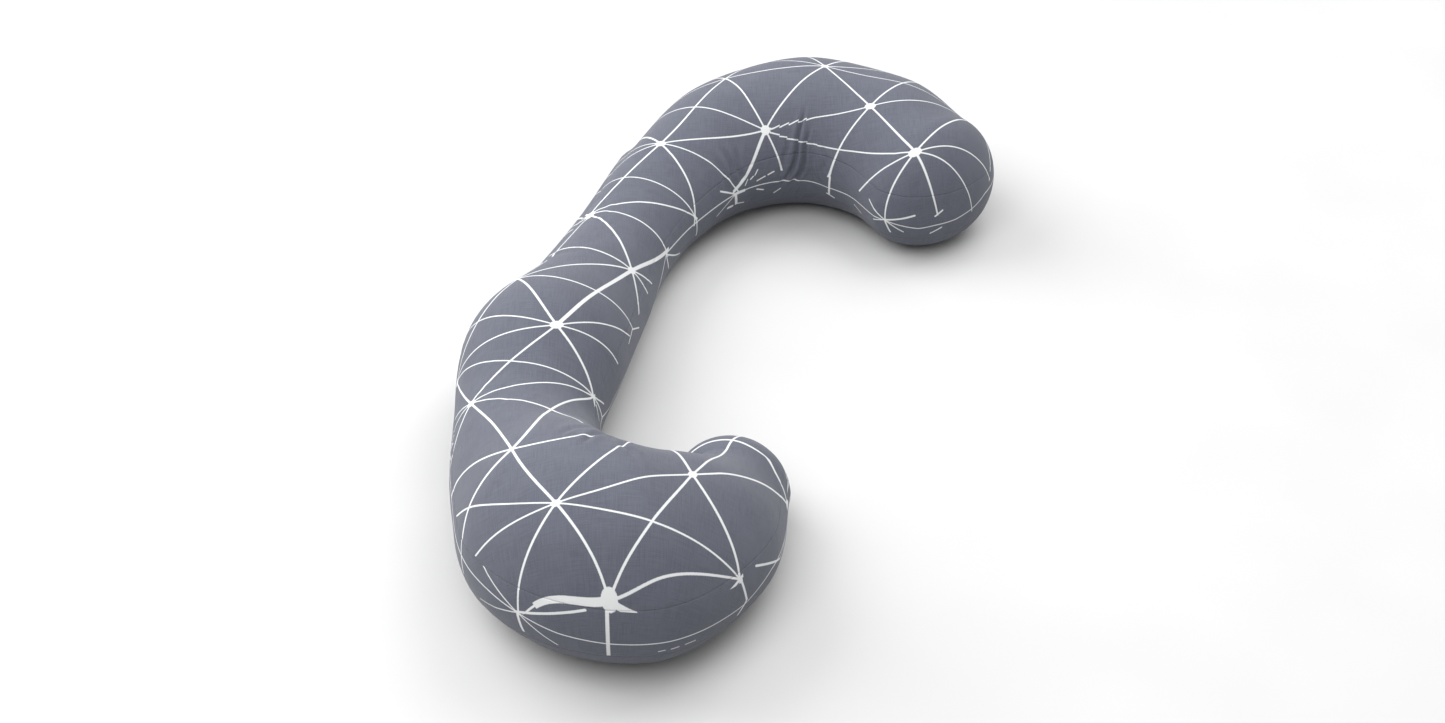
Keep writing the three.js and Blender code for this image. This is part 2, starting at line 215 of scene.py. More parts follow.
def mesh_from_grid(name, grid, attributes, closed=True, flip=False):
    """A mesh of quads over rows of points, with point attributes; equal points are merged."""
    rows, count = grid.shape[:2]
    index = np.arange(rows * count).reshape(rows, count)
    right = np.roll(index, -1, 1)
    if not closed:
        index, right = index[:, :-1], right[:, :-1]
    quads = np.stack([index[:-1], right[:-1], right[1:], index[1:]], -1).reshape(-1, 4)
    if flip:
        quads = quads[:, ::-1]
    mesh = bpy.data.meshes.new(name)
    mesh.from_pydata(grid.reshape(-1, 3).tolist(), [], quads.tolist())
    for key, values in attributes.items():
        layer = mesh.attributes.new(key, "FLOAT_VECTOR", "POINT")
        data = np.zeros((rows * count, 3), np.float32)
        data[:, :values.shape[-1]] = values.reshape(rows * count, -1)
        layer.data.foreach_set("vector", data.ravel())
    bm = bmesh.new()
    bm.from_mesh(mesh)
    bmesh.ops.remove_doubles(bm, verts=bm.verts, dist=SAME_POINT)
    bmesh.ops.dissolve_degenerate(bm, dist=NO_LENGTH, edges=bm.edges)
    bm.to_mesh(mesh)
    bm.free()
    mesh.shade_smooth()
    return mesh


def link(name, mesh):
    obj = bpy.data.objects.new(name, mesh)
    bpy.context.scene.collection.objects.link(obj)
    return obj


def read_points(mesh, layer=None):
    source = mesh.attributes[layer].data if layer else mesh.vertices
    values = np.zeros(len(source) * 3, np.float32)
    source.foreach_get("vector" if layer else "co", values)
    return values.reshape(-1, 3).astype(float)


def read_normals(mesh):
    values = np.zeros(len(mesh.vertices) * 3, np.float32)
    mesh.vertex_normals.foreach_get("vector", values)
    return values.reshape(-1, 3).astype(float)


def write_points(mesh, points):
    mesh.vertices.foreach_set("co", points.astype(np.float32).ravel())
    mesh.update()


def apply_modifiers(obj):
    evaluated = obj.evaluated_get(bpy.context.evaluated_depsgraph_get())
    mesh = bpy.data.meshes.new_from_object(evaluated)
    obj.modifiers.clear()
    obj.data = mesh
    return mesh


# ---- cloth simulation of the whole stuffed cover ----

SIM_VOXEL = 0.008
SIM_FRAMES = 20
SIM_CAP = 0.010          # the farthest that a point moves
SIM_DEPTH = 0.004        # how far the copy starts inside the cover
SIM_CROWN_ROWS = 14


def simulate_stuffing():
    """Blows up a slightly small copy of the cover as cloth. Returns its points, their moves and its faces."""
    ring = Ring(8, 20)
    rows = [("flat", v) for v in (1.0, 0.7, 0.4, 0.0)] + [("belly", v) for v in (0.75, 0.5, 0.25)]
    rows += [("arc", v) for v in (-BAND_BELOW, -0.024, 0.0, 0.018)]
    rows += [("crown", v / SIM_CROWN_ROWS) for v in range(SIM_CROWN_ROWS + 1)]
    grid = np.array([section(ring, row, SIM_DEPTH)[0] for row in rows])
    obj = link("stuffing_copy", mesh_from_grid("stuffing_copy", grid, {}))
    remesh = obj.modifiers.new("remesh", "REMESH")
    remesh.mode = "VOXEL"
    remesh.voxel_size = SIM_VOXEL
    rest = apply_modifiers(obj)
    start = read_points(rest)
    cloth = obj.modifiers.new("cloth", "CLOTH").settings
    cloth.quality = 5
    cloth.mass = 0.25
    cloth.tension_stiffness = 40
    cloth.compression_stiffness = 40
    cloth.shear_stiffness = 15
    cloth.bending_stiffness = 0.6
    cloth.use_pressure = True
    cloth.uniform_pressure_force = 4
    cloth.effector_weights.gravity = 0
    scene = bpy.context.scene
    for step in range(1, SIM_FRAMES + 1):
        scene.frame_set(step)
    end = read_points(apply_modifiers(obj))
    scene.frame_set(1)
    moved = end - start
    faces = [tuple(p.vertices) for p in rest.polygons]
    bpy.data.objects.remove(obj)
    return start, moved, faces


def spread_of(moved, normals):
    """Keeps the shape of the swelling and leaves out its size, then caps it."""
    out = (moved * normals).sum(1)
    moved = moved - np.median(out) * normals
    length = np.linalg.norm(moved, axis=1, keepdims=True)
    return moved * (SIM_CAP * np.tanh(length / SIM_CAP) / np.maximum(length, 1e-9))


def stuffing_field():
    """The swelling as a function of place, read off the nearest spot of the simulated copy."""
    start, moved, faces = simulate_stuffing()
    triangles = [t for f in faces for t in ((f[0], f[1], f[2]), (f[0], f[2], f[3]))[:len(f) - 2]]
    mesh = bpy.data.meshes.new("field")
    mesh.from_pydata(start.tolist(), [], triangles)
    moved = spread_of(moved, read_normals(mesh))
    tree = BVHTree.FromPolygons(start.tolist(), triangles)
    corners = np.array(triangles)

    def field(points):
        hits = [tree.find_nearest(p) for p in points.tolist()]
        place = np.array([h[0] for h in hits])
        tri = corners[[h[2] for h in hits]]
        a, b, c = start[tri[:, 0]], start[tri[:, 1]], start[tri[:, 2]]
        share = np.stack([np.linalg.norm(np.cross(c - b, place - b), axis=1),
                          np.linalg.norm(np.cross(a - c, place - c), axis=1),
                          np.linalg.norm(np.cross(b - a, place - a), axis=1)], 1)
        share /= share.sum(1, keepdims=True)
        return (moved[tri] * share[:, :, None]).sum(1)

    bpy.data.meshes.remove(mesh)
    return field


# ---- printed lattice ----

# Where the lattice's hubs, and some points of the lines between them, lie on the laid-out cloth.
# Each point's key is its place in the lattice.
HUBS = {
    (0, 0): (0.038, 0.390), (1, -1): (0.125, 0.505), (0, -1): (-0.025, 0.500), (-1, 0): (-0.120, 0.360),
    (-2, 1): (-0.220, 0.215), (-3, 2): (-0.300, -0.015), (1, 0): (0.189, 0.405), (1, 1): (0.251, 0.307),
    (-1, 1): (-0.050, 0.255), (-2, 2): (-0.150, 0.070), (-3, 3): (-0.240, -0.135),
    (-4, 4): (-0.340, -0.260), (-3, 4): (-0.170, -0.200), (-4, 5): (-0.270, -0.430),
    (-4, 6): (-0.215, -0.535), (-3, 6): (-0.065, -0.465), (-4, 7): (-0.158, -0.661), (-3, 7): (0.010, -0.580),
    (-1.5, 1.5): (-0.086, 0.172), (-0.5, 0.5): (0.020, 0.303), (0.5, 1.5): (0.170, 0.222),
    (0.5, 0.5): (0.134, 0.350), (0.27, 0.73): (0.111, 0.310), (1, 1.81): (0.305, 0.200),
    (2, 1): (0.422, 0.341), (-3.25, 4.25): (-0.208, -0.244),
    (-3.5, 4.5): (-0.234, -0.308), (-3.33, 5): (-0.167, -0.421), (-3.32, 5.32): (-0.139, -0.435),
    (-2.5, 5.5): (-0.016, -0.310), (-2.1, 6): (0.066, -0.381), (-3.5, 6.5): (-0.109, -0.559),
    (-3.62, 7): (-0.096, -0.614), (-4.75, 7): (-0.251, -0.633), (-5, 7): (-0.284, -0.652),
    (-4.5, 5.5): (-0.330, -0.480), (-4.71, 5.71): (-0.352, -0.513), (-4.65, 5.35): (-0.363, -0.472),
    (-4.7, 6): (-0.324, -0.561), (-4.55, 5): (-0.361, -0.386),
}
CELL = np.array([[0.154, 0.040], [0.0615, -0.123]])   # the lattice's two steps on the cloth
SHORTEST = 1e-6


def thin_plate(r):
    """How much a thin plate bends at a distance r from a point that pulls on it."""
    return r * r * np.log(np.maximum(r, SHORTEST))


def lattice_warp():
    """A smooth map from cloth to lattice that takes each hub to its own place."""
    places = np.array(list(HUBS.values()))
    wanted = np.array(list(HUBS), float)
    count = len(places)
    base = np.hstack([np.ones((count, 1)), places])
    bend = thin_plate(np.linalg.norm(places[:, None] - places[None], axis=2))
    system = np.zeros((count + 3, count + 3))
    system[:count, :count] = bend
    system[:count, count:] = base
    system[count:, :count] = base.T
    solved = np.linalg.solve(system, np.vstack([wanted, np.zeros((3, 2))]))

    def warp(cloth):
        shape = cloth.shape[:-1]
        flat = cloth.reshape(-1, 2)
        distance = np.linalg.norm(flat[:, None] - places[None], axis=2)
        linear = np.hstack([np.ones((len(flat), 1)), flat])
        return (thin_plate(distance) @ solved[:count] + linear @ solved[count:]).reshape(*shape, 2)

    return warp


lattice_at = lattice_warp()

# The top's print ends near the seam, at this height above the widest line, by distance round the outline
CUT_RUN = [0.00, 0.14, 0.20, 0.26, 0.30, 0.52, 0.60, 0.66, 0.72, 0.80, 0.83, 0.87, 0.93, 0.96, 0.99, 1.02,
           1.05, 1.085, 1.11, 1.16, 1.20, 1.23, 1.26, 1.28, 1.40, 2.80, 2.90, 2.93, 2.98, 3.09, 3.11, 3.13,
           3.156, 3.175, 3.20, 3.25, 3.27, 3.29, 3.40, 3.444, 3.48, 3.64, 3.80, 3.91]
CUT_ARC = [0.045, 0.064, 0.040, 0.032, 0.024, 0.023, 0.014, 0.012, 0.006, 0.000, 0.006, 0.012, 0.008, 0.003,
           0.008, 0.011, 0.004, -0.010, 0.002, 0.004, -0.008, -0.015, -0.006, 0.030, 0.034, 0.034, 0.020,
           0.020, 0.036, 0.040, 0.020, 0.008, -0.004, 0.010, 0.028, 0.035, 0.036, 0.035, 0.026, 0.022,
           0.024, 0.016, 0.030, 0.045]
# Height of the band's own long line above the widest line, by distance round the outline
LINE_RUN = [0.00, 0.10, 0.23, 0.27, 0.40, 0.55, 0.60, 0.62, 0.72, 0.81, 0.88, 0.96, 1.02, 1.085, 1.136,
            1.16, 1.195, 1.23, 1.26, 1.32, 1.50, 2.70, 2.90, 3.00, 3.05, 3.11, 3.156, 3.21, 3.26, 3.36,
            3.45, 3.51, 3.56, 3.70, 3.91]
LINE_ARC = [-0.004, 0.000, 0.008, -0.014, -0.024, -0.014, 0.008, 0.021, 0.009, 0.002, -0.007, -0.020,
            -0.015, -0.011, -0.022, -0.018, -0.016, -0.007, 0.005, 0.008, -0.004, -0.004, 0.023, 0.019,
            0.016, 0.009, 0.001, -0.011, -0.015, -0.017, -0.019, 0.000, 0.004, 0.000, -0.004]
# Hubs of the band's print on the side that the photograph doesn't show, by distance round the outline
FAR_HUBS = np.array([-0.10, 1.42, 1.68, 1.98, 2.28, 2.58, 2.82, 3.79])
STAR_EXTENT = 0.04
STAR_DOT = 0.0045        # radius of the dot in a star's middle
# Rays of a star, each through its middle: direction in degrees, reach and width
STAR_RAYS = ((14, 0.034, 0.0022), (62, 0.030, 0.0028), (104, 0.026, 0.0020), (148, 0.032, 0.0024))
LONG_LINE_HALF = 0.0009  # half the width of the band's long line
# Strokes of the band's print: start and end, each as distance round the outline and height above the widest
# line, and width
STROKES = [
    ((0.40, 0.024), (0.433, 0.008), 0.0020), ((0.40, 0.024), (0.370, 0.018), 0.0018),
    ((0.228, 0.044), (0.230, 0.006), 0.0024),
    ((0.228, 0.044), (0.212, 0.018), 0.0018), ((0.228, 0.044), (0.246, 0.016), 0.0018),
    ((0.618, 0.020), (0.670, -0.016), 0.0022), ((0.618, 0.020), (0.621, -0.006), 0.0024),
    ((0.720, 0.016), (0.721, -0.020), 0.0020),
    ((0.811, 0.002), (0.781, 0.024), 0.0024), ((0.811, 0.002), (0.814, -0.022), 0.0048),
    ((0.814, -0.022), (0.830, -0.031), 0.0020), ((0.811, 0.002), (0.772, -0.018), 0.0016),
    ((0.811, 0.002), (0.828, -0.001), 0.0050), ((0.797, -0.019), (0.806, -0.022), 0.0050),
    ((0.853, 0.024), (0.848, 0.017), 0.0016), ((0.845, 0.016), (0.840, 0.013), 0.0018),
    ((0.835, 0.015), (0.830, 0.007), 0.0014), ((0.878, 0.013), (0.869, 0.010), 0.0020),
    ((0.864, 0.009), (0.851, 0.006), 0.0018), ((0.851, -0.011), (0.862, -0.018), 0.0022),
    ((0.889, -0.026), (0.880, -0.034), 0.0020), ((1.085, -0.010), (1.052, 0.012), 0.0022),
    ((1.085, -0.010), (1.063, -0.021), 0.0018), ((1.085, -0.010), (1.092, -0.038), 0.0026),
    ((1.085, -0.010), (1.113, -0.032), 0.0020), ((1.085, -0.010), (1.129, 0.006), 0.0030),
    ((1.012, -0.030), (1.027, -0.038), 0.0018), ((1.171, 0.010), (1.160, 0.002), 0.0026),
    ((1.172, -0.026), (1.155, -0.037), 0.0026), ((0.965, 0.005), (0.963, -0.037), 0.0032),
    ((0.960, -0.036), (0.971, -0.042), 0.0030), ((3.156, 0.002), (3.242, 0.033), 0.0034),
    ((3.156, 0.002), (3.160, -0.038), 0.0036), ((3.156, 0.002), (3.206, -0.040), 0.0018),
    ((3.092, 0.040), (3.156, 0.001), 0.0018), ((3.156, 0.001), (3.119, -0.015), 0.0018),
    ((3.119, -0.015), (3.088, -0.024), 0.0016), ((3.037, 0.040), (3.047, -0.010), 0.0024),
    ((3.267, 0.041), (3.266, -0.055), 0.0042), ((3.444, 0.026), (3.453, -0.012), 0.0034),
    ((3.453, -0.012), (3.440, -0.036), 0.0030), ((3.323, -0.037), (3.330, -0.0365), 0.0018),
    ((3.338, -0.037), (3.347, -0.036), 0.0018), ((3.356, -0.036), (3.369, -0.035), 0.0018),
    ((3.476, 0.027), (3.542, -0.006), 0.0030), ((3.542, -0.006), (3.571, 0.002), 0.0022),
]


def print_line(run):
    """Height above the widest line of the band's own long line."""
    return np.interp(run, LINE_RUN, LINE_ARC)


def far_lattice(run, arc):
    """Each point's place from the nearest of the far side's hubs, and how far it is beyond its star."""
    nearest = FAR_HUBS[np.abs(run[..., None] - FAR_HUBS).argmin(-1)]
    beyond = np.maximum(np.abs(run - nearest) - STAR_EXTENT, 0)
    return np.stack([run - nearest, arc - print_line(run), beyond], -1)


def print_cut(run):
    """Height above the widest line at which the top's print ends."""
    return np.interp(run, CUT_RUN, CUT_ARC)


# ---- materials ----


class Graph:
    """Short calls for building one material's nodes."""

    def __init__(self, name):
        self.material = bpy.data.materials.new(name)
        self.material.use_nodes = True
        self.tree = self.material.node_tree
        self.tree.nodes.clear()

    def node(self, kind, inputs=None, **settings):
        made = self.tree.nodes.new("ShaderNode" + kind)
        for key, value in settings.items():
            setattr(made, key, value)
        for key, value in (inputs or {}).items():
            self.put(made.inputs[key], value)
        return made

    def put(self, socket, value):
        if isinstance(value, bpy.types.NodeSocket):
            self.tree.links.new(value, socket)
        elif isinstance(value, bpy.types.Node):
            self.tree.links.new(value.outputs[0], socket)
        else:
            socket.default_value = value

    def math(self, operation, a, b=0.0, c=0.0):
        return self.node("Math", {0: a, 1: b, 2: c}, operation=operation).outputs[0]

    def plus(self, a, b):
        return self.math("ADD", a, b)

    def minus(self, a, b):
        return self.math("SUBTRACT", a, b)

    def times(self, a, b):
        return self.math("MULTIPLY", a, b)

    def own_place(self):
        return self.node("TexCoord").outputs["Object"]

    def attribute(self, name):
        return self.node("Attribute", attribute_name=name, attribute_type="GEOMETRY").outputs["Vector"]

    def parts(self, vector):
        return self.node("SeparateXYZ", {0: vector}).outputs

    def vector(self, x, y, z=0.0):
        return self.node("CombineXYZ", {0: x, 1: y, 2: z}).outputs[0]

    def vector_math(self, operation, a, b):
        made = self.node("VectorMath", {0: a, 1: b}, operation=operation)
        return made.outputs["Value" if operation in ("DISTANCE", "DOT_PRODUCT") else "Vector"]

    def noise(self, vector, scale, detail=2.0, rough=0.5, distortion=0.0):
        return self.node("TexNoise", {"Vector": vector, "Scale": scale, "Detail": detail,
                                      "Roughness": rough, "Distortion": distortion}).outputs[0]

    def ramp(self, value, low, high, to_low=0.0, to_high=1.0):
        return self.node("MapRange", {"Value": value, "From Min": low, "From Max": high,
                                      "To Min": to_low, "To Max": to_high},
                         interpolation_type="SMOOTHSTEP").outputs[0]

    def mix(self, share, a, b):
        made = self.node("Mix", data_type="RGBA")
        self.put(made.inputs[0], share)
        self.put(made.inputs[6], a)
        self.put(made.inputs[7], b)
        return made.outputs[2]

    def bump(self, height, strength, distance, normal=None):
        inputs = {"Height": height, "Strength": strength, "Distance": distance}
        if normal is not None:
            inputs["Normal"] = normal
        return self.node("Bump", inputs).outputs[0]

    def finish(self, **inputs):
        shader = self.node("BsdfPrincipled", {key.replace("_", " "): value for key, value in inputs.items()})
        self.node("OutputMaterial", {"Surface": shader.outputs[0]})
        return self.material


def linear(red, green, blue):
    """A colour given as it looks on screen, from 0 to 255, as linear light."""
    def one(value):
        share = value / 255
        return share / 12.92 if share <= 0.04045 else ((share + 0.055) / 1.055) ** 2.4
    return (one(red), one(green), one(blue), 1.0)


SLATE = linear(83, 86, 96)
SLATE_DARK = linear(74, 76, 86)
SLATE_PALE = linear(95, 98, 109)
PRINT_WHITE = linear(208, 210, 210)
MELANGE_SHARE = 0.45     # how much of the dark and pale threads shows in the ground
EDGE_ROUGH = 0.0009      # roughness of the print's edges
THREAD = 0.0009          # pitch of the cover's weave
SLUB_ACROSS = 900        # noise cells a metre, across and along a thread
SLUB_ALONG = 34
LINE_ZONE = 0.3          # how far from a line still counts as that line, in lattice steps
GATHER_MIDDLE = (0.078, 0.376, 0.0)   # middle of the gathered cloth, on the laid-out cloth


def inked(g, distance):
    """1 where the distance outside a printed mark is below zero, with a soft edge."""
    return g.ramp(distance, -0.0004, 0.0005, 1.0, 0.0)


def line_mask(g, value, spacing, width, edge):
    """1 on the lines where value is a whole number, given the spacing between them and their width."""
    off = g.math("ABSOLUTE", g.minus(value, g.math("ROUND", value)))
    distance = g.minus(g.times(off, spacing), g.times(width, 0.5))
    return inked(g, g.plus(distance, edge))


def inside(g, value, low, high):
    """1 where the value is between low and high."""
    return g.times(g.math("GREATER_THAN", value, low), g.math("LESS_THAN", value, high))


def near(g, family, whole):
    """1 round one line of a family."""
    return inside(g, family, whole - LINE_ZONE, whole + LINE_ZONE)


def stretch(g, family, along, whole, low, high):
    """Picks one line of a family out, over a stretch of it."""
    return g.times(near(g, family, whole), inside(g, along, low, high))


def either(g, *masks):
    joined = masks[0]
    for mask in masks[1:]:
        joined = g.math("MAXIMUM", joined, mask)
    return joined


def weave(g, cloth):
    """Melange of slubby threads both ways, and the weave's own relief."""
    x, y, _ = g.parts(cloth)
    upright = g.vector(g.times(x, SLUB_ACROSS), g.times(y, SLUB_ALONG))
    level = g.vector(g.times(x, SLUB_ALONG), g.times(y, SLUB_ACROSS), 7.0)
    warp = g.noise(upright, 1.0, 2.0, 0.6)
    weft = g.noise(level, 1.0, 2.0, 0.6)
    cloud = g.noise(cloth, 26.0, 3.0, 0.55)
    threads = g.plus(warp, weft)
    melange = g.plus(g.times(threads, 0.42), g.times(cloud, 0.22))
    turn = 2 * math.pi / THREAD
    wave_x = g.math("SINE", g.times(x, turn))
    wave_y = g.math("SINE", g.times(y, turn))
    over = g.times(wave_x, wave_y)
    relief = g.plus(g.times(over, 0.25), threads)
    return melange, relief


# Lines lie where one of four sums of the lattice's two coordinates is a whole number. Each family has the
# distance between its lines, their width, and how much wider its bold stretches are.
FAMILY_A = (0.114, 0.0029, 0.0028)      # c + b
FAMILY_B = (0.156, 0.0030, 0.0)         # c
FAMILY_C = (0.1345, 0.0026, 0.0048)     # b
FAMILY_D = (0.0928, 0.0023, 0.0040)     # c - b
# Stretches of family A's lines that the print leaves out, and hubs with hardly a dot
HIDDEN_A = [(0, -1.46, -0.54), (1, -2.97, -2.0), (3, 1.03, 2.2), (3, -5.0, -4.03), (4, -2.96, -1.5)]
BARE_HUBS = [(-4, 5), (-1, 1), (-3, 4), (-3, 7), (2, 1), (0, -1), (-3, 2), (-5, 5), (-5, 6), (-5, 7)]
FRONT_HUB = (-4, 7)
MISSING_D = (1.0, -9.0, -11.0)  # lines of family D that the print leaves out
DOT_RADIUS = 0.0058
DOT_SPREAD = 0.0030             # how much larger the largest dots are
BARE_LESS = 0.0055              # how much smaller the dots of bare hubs are
FRONT_MORE = 0.0035             # how much larger the front hub's is
GATHER_STEP = 0.013             # length of the small steps where the cloth is gathered


def gathered(g, cloth, b):
    """Breaks the print into small steps where the cloth is gathered."""
    x, _, _ = g.parts(cloth)
    far = g.vector_math("DISTANCE", cloth, GATHER_MIDDLE)
    step = g.math("FRACT", g.plus(g.times(x, 1 / GATHER_STEP), g.noise(cloth, 60.0)))
    size = g.ramp(far, 0.026, 0.044, 0.024, 0.0)
    return g.plus(b, g.times(g.minus(step, 0.5), size))


def but_not(g, mask, hidden):
    return g.times(mask, g.minus(1.0, hidden))


def lattice_lines(g, c, b, edge):
    """The four families of lines, with their bold and missing stretches."""
    total = g.plus(c, b)
    gap = g.minus(c, b)
    grow = g.ramp(b, -1.0, 7.0, 0.82, 1.08)

    def family(value, sizes, bold=None):
        spacing, width, wider = sizes
        if bold:
            width = g.math("MULTIPLY_ADD", bold, wider, width)
        return line_mask(g, value, spacing, g.times(width, grow), edge)

    on_axis = g.math("LESS_THAN", g.math("ABSOLUTE", total), LINE_ZONE)
    bold_a = g.times(on_axis, either(g, inside(g, c, -3.0, -1.45), inside(g, c, -0.55, -0.02)))
    hidden_a = either(g, *[stretch(g, total, c, whole, low, high) for whole, low, high in HIDDEN_A])
    line_a = but_not(g, family(total, FAMILY_A, bold_a), hidden_a)
    line_b = but_not(g, family(c, FAMILY_B), stretch(g, c, b, -5, 4.9, 8.0))
    bold_c = stretch(g, b, c, 7, -4.76, -4.0)
    hidden_c = either(g, stretch(g, b, c, 1, -0.96, 0.25), stretch(g, b, c, 7, -2.97, -1.0))
    line_c = but_not(g, family(b, FAMILY_C, bold_c), hidden_c)
    bold_d = stretch(g, gap, c, -11, -4.0, -3.83)
    missing = either(g, *[near(g, gap, whole) for whole in MISSING_D])
    line_d = but_not(g, family(gap, FAMILY_D, bold_d), g.minus(missing, bold_d))
    return either(g, line_a, line_b, line_c, line_d)


def lattice_dots(g, c, b, edge):
    """A rough-edged dot at each hub, of a size of its own."""
    near_c, near_b = g.math("ROUND", c), g.math("ROUND", b)
    dc, db = g.minus(c, near_c), g.minus(b, near_b)
    dx = g.plus(g.times(dc, CELL[0, 0]), g.times(db, CELL[1, 0]))
    dy = g.plus(g.times(dc, CELL[0, 1]), g.times(db, CELL[1, 1]))
    away = g.math("SQRT", g.plus(g.times(dx, dx), g.times(dy, dy)))
    size = g.node("TexWhiteNoise", {"Vector": g.vector(near_c, near_b)}, noise_dimensions="3D").outputs[0]

    def at_hub(hub):
        return stretch(g, near_c, near_b, hub[0], hub[1] - 0.5, hub[1] + 0.5)

    radius = g.math("MULTIPLY_ADD", size, DOT_SPREAD, DOT_RADIUS)
    bare = either(g, *[at_hub(hub) for hub in BARE_HUBS])
    radius = g.minus(radius, g.times(bare, BARE_LESS))
    radius = g.math("MULTIPLY_ADD", at_hub(FRONT_HUB), FRONT_MORE, radius)
    outside = g.plus(g.minus(away, radius), g.times(edge, 2.5))
    return g.ramp(outside, -0.0006, 0.0006, 1.0, 0.0)


def stroke(g, at, start, end, width):
    """Distance outside one straight stroke with round ends."""
    along = Vector((*end, 0.0)) - Vector((*start, 0.0))
    rel = g.vector_math("SUBTRACT", at, (*start, 0.0))
    share = g.vector_math("DOT_PRODUCT", rel, tuple(along / along.length_squared))
    share = g.node("Math", {0: share, 1: 0.0}, operation="ADD", use_clamp=True)
    nearest = g.node("VectorMath", {0: tuple(along), "Scale": share}, operation="SCALE")
    return g.minus(g.vector_math("DISTANCE", rel, nearest), width / 2)


def band_masks(g, place, far, edge):
    """The band's long thin line and its strokes, and stars of rays at the far side's hubs."""
    at = g.vector(place[0], place[1])
    x, y, beyond = g.parts(far)
    nearest = g.minus(g.math("ABSOLUTE", y), LONG_LINE_HALF)
    for start, end, width in STROKES:
        nearest = g.math("MINIMUM", nearest, stroke(g, at, start, end, width))
    away = g.math("SQRT", g.plus(g.times(x, x), g.times(y, y)))
    away = g.math("MULTIPLY_ADD", beyond, 5.0, away)
    rays = g.minus(away, STAR_DOT)
    for degrees, reach, width in STAR_RAYS:
        turn = math.radians(degrees)
        off = g.minus(g.times(x, math.sin(turn)), g.times(y, math.cos(turn)))
        ray = g.minus(g.math("ABSOLUTE", off), width / 2)
        rays = g.math("MINIMUM", rays, g.math("MAXIMUM", ray, g.minus(away, reach)))
    nearest = g.math("MINIMUM", nearest, rays)
    return inked(g, g.plus(nearest, edge))


def cover_fabric(name, own_print=False):
    """Printed melange cotton, with the band's own print or without it.

    The 'place' attribute is distance round the outline, height above the widest line, and height above the
    print's end."""
    g = Graph(name)
    cloth = g.attribute("cloth")
    place = g.parts(g.attribute("place"))
    melange, relief = weave(g, cloth)
    fuzz = g.noise(cloth, 700.0, 2.0, 0.6)
    edge = g.math("MULTIPLY_ADD", fuzz, EDGE_ROUGH, -EDGE_ROUGH / 2)
    c, b, _ = g.parts(g.attribute("lattice"))
    b = gathered(g, cloth, b)
    lines = g.times(lattice_lines(g, c, b, edge), g.ramp(place[2], -0.0004, 0.0004))
    dots = g.times(lattice_dots(g, c, b, edge), g.ramp(place[2], -0.0088, -0.0080))
    printed = either(g, lines, dots)
    if own_print:
        printed = either(g, printed, band_masks(g, place, g.attribute("far"), edge))
    ground = g.mix(g.ramp(melange, 0.36, 0.64), SLATE_DARK, SLATE_PALE)
    ground = g.mix(MELANGE_SHARE, SLATE, ground)
    worn = g.times(printed, g.ramp(melange, 0.30, 0.50, 0.90, 0.98))
    colour = g.mix(worn, ground, PRINT_WHITE)
    normal = g.bump(relief, 0.35, 0.00035)
    rough = g.ramp(melange, 0.3, 0.7, 0.94, 0.82)
    return g.finish(Base_Color=colour, Roughness=rough, Normal=normal, Specular_IOR_Level=0.25,
                    Sheen_Weight=0.12, Sheen_Roughness=0.45)


def plain_cloth(name, dark, pale, pitch, rough=0.85, sheen=0.1):
    """Unprinted woven cloth: threads both ways over the part's own coordinates."""
    g = Graph(name)
    where = g.own_place()
    x, y, z = g.parts(where)
    turn = 2 * math.pi / pitch
    threads = g.times(g.math("SINE", g.times(g.plus(x, z), turn)),
                      g.math("SINE", g.times(g.minus(y, z), turn)))
    slub = g.noise(where, 320.0, 3.0, 0.6)
    share = g.math("MULTIPLY_ADD", threads, 0.18, slub)
    colour = g.mix(g.ramp(share, 0.25, 0.75), dark, pale)
    normal = g.bump(share, 0.5, pitch * 0.3)
    return g.finish(Base_Color=colour, Roughness=g.ramp(slub, 0.3, 0.7, rough, rough - 0.1),
                    Normal=normal, Sheen_Weight=sheen)


def metal(name, dark, pale, rough):
    """Plated zinc: slight tone changes, fine scratches, and duller patches."""
    g = Graph(name)
    where = g.own_place()
    cloud = g.noise(where, 260.0, 4.0, 0.6)
    scratch = g.noise(g.vector_math("MULTIPLY", where, (5200.0, 300.0, 900.0)), 1.0, 2.0, 0.7)
    colour = g.mix(g.ramp(cloud, 0.35, 0.65), dark, pale)
    roughness = g.ramp(g.math("MULTIPLY_ADD", scratch, 0.5, g.times(cloud, 0.5)),
                       0.3, 0.7, rough, rough + 0.22)
    normal = g.bump(scratch, 0.15, 0.00004)
    return g.finish(Base_Color=colour, Metallic=1.0, Roughness=roughness, Normal=normal)


def nylon(name):
    """Moulded nylon of the zip's coils."""
    g = Graph(name)
    where = g.own_place()
    cloud = g.noise(where, 400.0, 3.0, 0.5)
    colour = g.mix(cloud, linear(112, 115, 126), linear(138, 141, 151))
    return g.finish(Base_Color=colour, Roughness=g.ramp(cloud, 0.3, 0.7, 0.38, 0.52),
                    Normal=g.bump(cloud, 0.1, 0.00003), Specular_IOR_Level=0.4)


# ---- the pillow's pieces ----

fine = Ring(36, 90)
field = stuffing_field()

# Pinched creases on the laid-out cloth: start, end, depth and half-width
CREASES = [
    ((0.092, 0.424), (0.080, 0.312), 0.0052, 0.0024),
    ((0.100, 0.392), (0.089, 0.300), 0.0044, 0.0022),
    ((0.070, 0.380), (0.072, 0.318), 0.0020, 0.0026),
    ((-0.030, 0.366), (0.012, 0.312), 0.0036, 0.0040),
    ((-0.008, 0.364), (0.018, 0.318), 0.0032, 0.0036),
    ((-0.044, 0.352), (0.002, 0.304), 0.0020, 0.0044),
    ((0.118, 0.360), (0.112, 0.316), 0.0014, 0.0030),
    ((-0.163, -0.404), (-0.188, -0.446), 0.0026, 0.0040),
    ((-0.150, -0.425), (-0.130, -0.468), 0.0022, 0.0045),
    ((-0.170, -0.385), (-0.215, -0.420), 0.0016, 0.0050),
]
CREASE_WANDER = 0.0016   # how far a crease strays from straight
